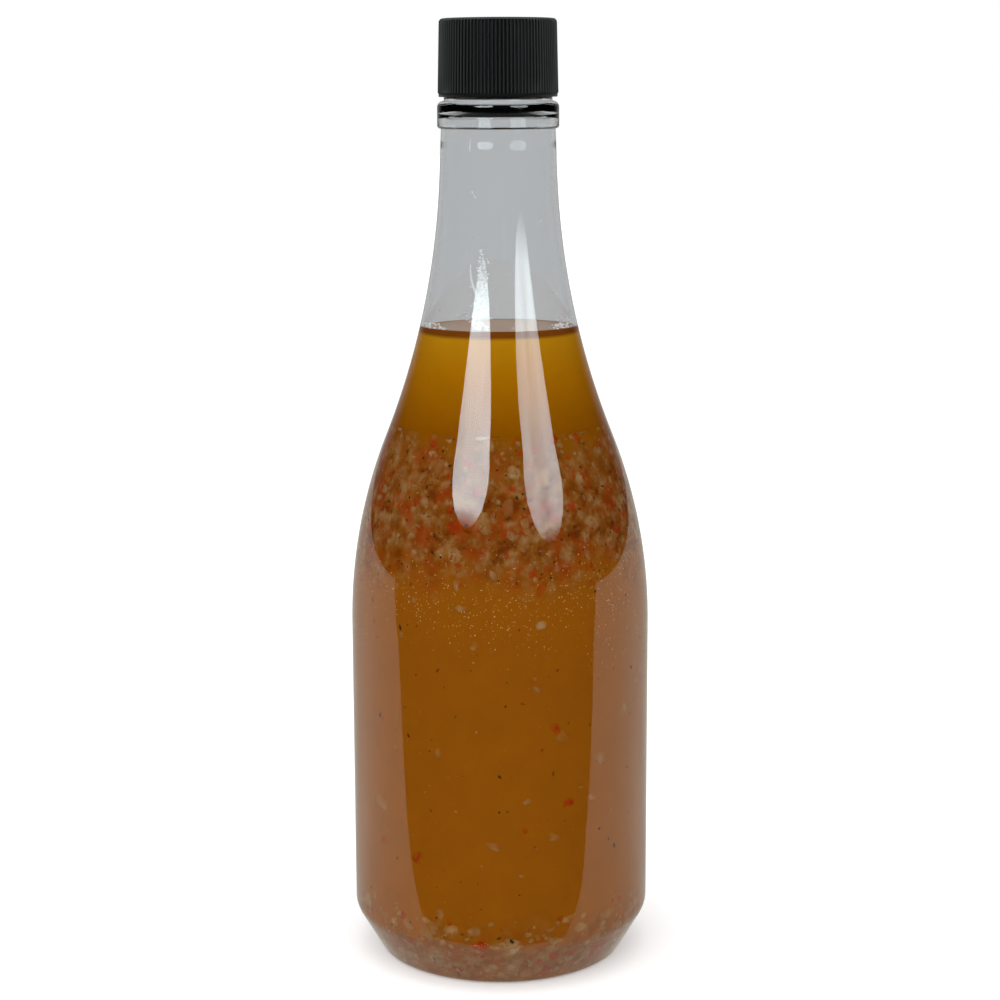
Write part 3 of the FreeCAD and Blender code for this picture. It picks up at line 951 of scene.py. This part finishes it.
class BuildStudio(bpy.types.Operator):
    """Set the pale floor, the soft light, the two softboxes and the camera"""
    bl_idname = "dressing.build_studio"
    bl_label = "Studio"

    def execute(self, context):
        s = context.scene.studio
        self.world(s)
        self.floor()
        self.cards()
        self.camera(context, s)
        context.scene.view_settings.view_transform = "Standard"
        return {"FINISHED"}

    def world(self, s):
        """White to the camera. Matt surfaces get soft light from above and the left; what
        mirrors the room, or shows it through, sees it dimmer."""
        world = bpy.data.worlds.new("studio_world")
        bpy.context.scene.world = world
        world.use_nodes = True
        tree = world.node_tree
        tree.nodes.clear()
        ray = node(tree, "LightPath")
        towards = node(tree, "TexCoord").outputs["Generated"]
        split = node(tree, "SeparateXYZ", Vector=towards)
        # the light on matt surfaces: the sky, and a broad lobe in front on the left
        sky = node(tree, "MapRange", Value=split.outputs["Z"], From_Min=-1.0,
                   To_Min=0.75 * s.level, To_Max=1.2 * s.level)
        aim = node(tree, "VectorMath", {"operation": "DOT_PRODUCT"}, i0=towards,
                   i1=(-0.28, -0.65, 0.7))
        lobe = node(tree, "MapRange", SMOOTH, Value=aim, From_Min=0.3, From_Max=1.0,
                    To_Max=0.9 * s.level)
        soft = node(tree, "Math", PLUS, i0=sky, i1=lobe)
        # what gloss mirrors: hardly anything but the far side
        mirrored = node(tree, "MapRange", SMOOTH, Value=split.outputs["Y"], From_Min=0.65,
                        From_Max=1.0, To_Min=0.01, To_Max=0.33)
        # what shows through clear plastic: grey, brighter far behind and towards the table
        behind = node(tree, "MapRange", SMOOTH, Value=split.outputs["Y"], From_Min=0.05,
                      From_Max=0.75, To_Min=0.4, To_Max=0.7)
        above = node(tree, "MapRange", SMOOTH, Value=split.outputs["Z"], From_Min=0.25,
                     From_Max=0.5, To_Min=1.0, To_Max=0.5)
        table = node(tree, "MapRange", SMOOTH, Value=split.outputs["Z"], From_Min=-0.15,
                     From_Max=-0.4, To_Min=1.0, To_Max=1.21)
        behind = node(tree, "Math", TIMES, i0=behind, i1=table)
        behind = node(tree, "Math", TIMES, i0=behind, i1=above)
        gloss = node(tree, "Mix", Factor=ray.outputs["Is Transmission Ray"], i2=mirrored,
                     i3=behind)
        seen = node(tree, "Math", {"operation": "MAXIMUM"}, i0=gloss,
                    i1=ray.outputs["Is Camera Ray"])
        # a ray that has left a matt surface, and a shadow ray, meet the soft light only
        bounced = node(tree, "Math", {"operation": "GREATER_THAN"},
                       i0=ray.outputs["Diffuse Depth"], i1=0.5)
        total = node(tree, "Mix", Factor=bounced, i2=seen, i3=soft)
        matt = node(tree, "Math", {"operation": "MAXIMUM"}, i0=ray.outputs["Is Diffuse Ray"],
                    i1=ray.outputs["Is Shadow Ray"])
        strength = node(tree, "Mix", Factor=matt, i2=total, i3=soft)
        light = node(tree, "Background", Color=(1, 1, 1, 1), Strength=strength)
        node(tree, "OutputWorld", Surface=light)

    def floor(self):
        """Matt white table, which catches the soft shadow. Gloss and clear plastic see the world
        in its place."""
        mat, tree = new_material("paper_matt_white")
        ray = node(tree, "LightPath")
        base = node(tree, "BsdfDiffuse", Color=(0.8, 0.8, 0.8, 1))
        extra = node(tree, "Math", TIMES, i0=ray.outputs["Is Camera Ray"], i1=0.2)
        lift = node(tree, "Emission", Strength=extra)
        both = node(tree, "AddShader", i0=base, i1=lift)
        node(tree, "OutputMaterial", Surface=both)
        verts = [(-6, -6, 0), (6, -6, 0), (6, 6, 0), (-6, 6, 0)]
        floor = make_object("stage_floor", verts, [(0, 1, 2, 3)], [mat])
        floor.visible_glossy = False
        floor.visible_transmission = False

    def cards(self):
        """The white card that the bottle mirrors below, and two softboxes in front of it."""
        rim = [(x, y, -CARD_DROP) for x, y in CARD_FRONT]
        rim += [(2.5, 3, -CARD_DROP), (-2.5, 3, -CARD_DROP)]
        card = make_object("stage_card", rim, [tuple(range(len(rim)))], [card_material()])
        boxes = [card]
        for name, (azimuth, height, radius, power, patchy, tint) in SOFTBOXES.items():
            verts = []
            for t in np.linspace(0, 2 * math.pi, BOX_STEPS, endpoint=False):
                az = math.radians(azimuth) + radius / BOX_AWAY * math.cos(t)
                verts.append((BOX_AWAY * math.sin(az), -BOX_AWAY * math.cos(az),
                              height + radius * math.sin(t)))
            boxes.append(make_object(
                "stage_softbox_" + name, verts, [tuple(range(BOX_STEPS))],
                [softbox_material("softbox_" + name, power, tint, patchy, height - radius)]))
        for box in boxes:
            box.visible_camera = False
            box.visible_diffuse = False
            box.visible_transmission = box is not card
            box.visible_shadow = False
            box.visible_volume_scatter = False

    def camera(self, context, s):
        """The camera, a hair off the bottle's axis, tilted down and with a slight roll."""
        data = bpy.data.cameras.new("camera")
        data.lens, data.sensor_width, data.clip_start = s.lens, 36.0, 0.01
        cam = bpy.data.objects.new("camera", data)
        cam.location = (CAMERA_SIDE, -s.camera_distance, s.camera_height)
        cam.rotation_euler = (math.pi / 2 - s.camera_tilt, CAMERA_ROLL, 0)
        context.scene.collection.objects.link(cam)
        context.scene.camera = cam


class DressingPanel(bpy.types.Panel):
    """Lists every setting, and the operators in the order in which they are run"""
    bl_idname = "VIEW3D_PT_dressing_bottle"
    bl_label = "Dressing bottle"
    bl_space_type = "VIEW_3D"
    bl_region_type = "UI"
    bl_category = "Dressing bottle"

    def draw(self, context):
        for group, kind in SETTINGS.items():
            box = self.layout.box()
            for name in kind.__annotations__:
                box.prop(getattr(context.scene, group), name)
        for operator in OPERATORS:
            self.layout.operator(operator.bl_idname)


OPERATORS = (MakeBottle, MakeCap, FillDressing, ScatterBits, WetNeck, BuildStudio)
CLASSES = tuple(SETTINGS.values()) + OPERATORS + (DressingPanel,)


def register():
    for cls in CLASSES:
        bpy.utils.register_class(cls)
    for name, kind in SETTINGS.items():
        setattr(bpy.types.Scene, name, bpy.props.PointerProperty(type=kind))


def unregister():
    for name in SETTINGS:
        delattr(bpy.types.Scene, name)
    for cls in reversed(CLASSES):
        bpy.utils.unregister_class(cls)


def main():
    register()
    bpy.ops.dressing.make_bottle()
    bpy.ops.dressing.make_cap()
    bpy.ops.dressing.fill()
    bpy.ops.dressing.scatter_bits()
    bpy.ops.dressing.wet_neck()
    bpy.ops.dressing.build_studio()


if __name__ == "__main__":
    main()
